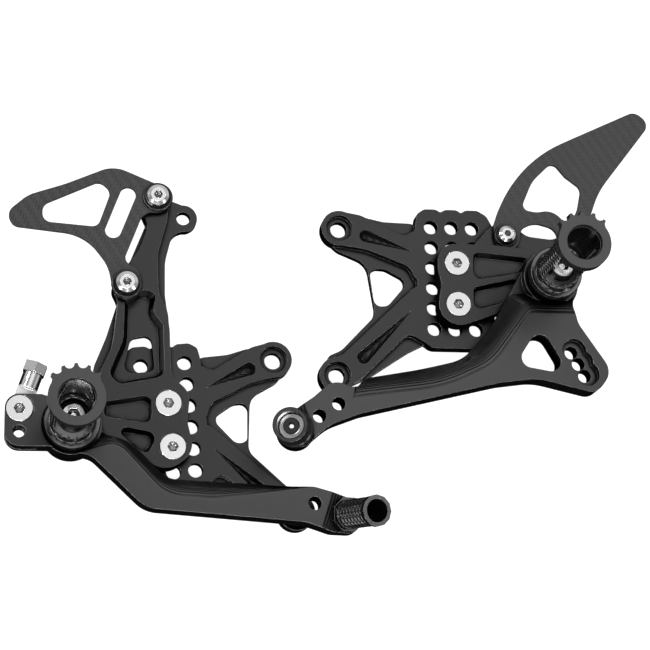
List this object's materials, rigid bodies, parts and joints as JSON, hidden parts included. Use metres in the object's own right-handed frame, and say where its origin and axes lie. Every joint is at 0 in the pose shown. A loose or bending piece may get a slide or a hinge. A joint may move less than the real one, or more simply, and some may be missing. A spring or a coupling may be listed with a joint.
{
  "type": "motorcycle rear set pair",
  "caption": "Brake side and shift side rear sets: forked frame plates, peg carriers, knurled foot pegs, pedal, lever, toe pegs and carbon heel guards.",
  "frame": {"origin": "centre of the shift plate's upper frame bolt hole, at the plate's back face", "axes": "+Z out of the plates along the foot pegs, +Y towards the top of each side, +X from the brake side to the shift side"},
  "size_m": [0.4177, 0.2877, 0.1075],
  "materials": {
    "black_anodised": "matt black anodised, machined",
    "black_grip": "matt black anodised, cut grip",
    "black_steel": "black oxide",
    "steel_screw": "bright stainless",
    "bearing_steel": "ground",
    "bronze_bush": "turned",
    "seal_rubber": "matt",
    "carbon_fibre": "twill weave, satin"
  },
  "bodies": {
    "fixed_frame": {"brake_frame_plate": "black_anodised", "brake_peg_carrier": "black_anodised", "brake_heel_guard": "carbon_fibre", "brake_plate_screws": "steel_screw", "brake_sleeve_nuts": "black_steel", "brake_guard_screws": "steel_screw", "brake_guard_washers": "black_anodised", "brake_pivot_shaft": "black_steel", "brake_thrust_spacer": "steel_screw", "brake_dust_seal": "seal_rubber", "brake_bearing_inner_races": "bearing_steel", "brake_bearing_balls": "bearing_steel", "brake_foot_peg": "black_grip", "brake_peg_end_ring": "black_anodised", "brake_peg_bolt": "steel_screw", "shift_frame_plate": "black_anodised", "shift_peg_carrier": "black_anodised", "shift_heel_guard": "carbon_fibre", "shift_plate_screws": "steel_screw", "shift_sleeve_nuts": "black_steel", "shift_guard_screws": "steel_screw", "shift_guard_washers": "black_anodised", "shift_pivot_shaft": "black_steel", "shift_thrust_spacer": "steel_screw", "shift_dust_seal": "seal_rubber", "shift_bearing_inner_races": "bearing_steel", "shift_bearing_balls": "bearing_steel", "shift_foot_peg": "black_grip", "shift_peg_end_ring": "black_anodised", "shift_peg_bolt": "steel_screw", "brake_guard_spacers": "black_anodised"},
    "brake_pedal_body": {"brake_pedal": "black_anodised", "brake_bearing_outer_races": "bearing_steel", "brake_toe_peg": "black_grip", "brake_toe_peg_bolt": "black_steel", "brake_pushrod_screw": "steel_screw"},
    "brake_pushrod": {"brake_pushrod_end": "steel_screw"},
    "shift_lever_body": {"shift_lever": "black_anodised", "shift_bearing_outer_races": "bearing_steel", "shift_toe_bush": "bronze_bush", "shift_toe_base_washer": "black_steel", "shift_toe_cap_washer": "steel_screw", "shift_toe_bolt": "black_steel"},
    "shift_toe_roller": {"shift_toe_sleeve": "black_anodised"}
  },
  "joints": [
    {"name": "brake_pedal_pivot", "type": "hinge", "parent": "fixed_frame", "child": "brake_pedal_body", "pos_m": [-0.17, -0.137, 0.0285], "axis": [0, 0, -1], "range_deg": [0, 10]},
    {"name": "brake_pushrod_pivot", "type": "hinge", "parent": "brake_pedal_body", "child": "brake_pushrod", "pos_m": [-0.201, -0.128, 0.0308], "axis": [0, 0, 1], "range_deg": [-5, 12]},
    {"name": "shift_lever_pivot", "type": "hinge", "parent": "fixed_frame", "child": "shift_lever_body", "pos_m": [0.132, -0.0365, 0.0285], "axis": [0, 0, 1], "range_deg": [-10, 6]},
    {"name": "shift_toe_spin", "type": "hinge", "parent": "shift_lever_body", "child": "shift_toe_roller", "pos_m": [-0.03493, -0.13817, 0.03519], "axis": [-0.2899, -0.08, 0.9537], "continuous": true}
  ]
}
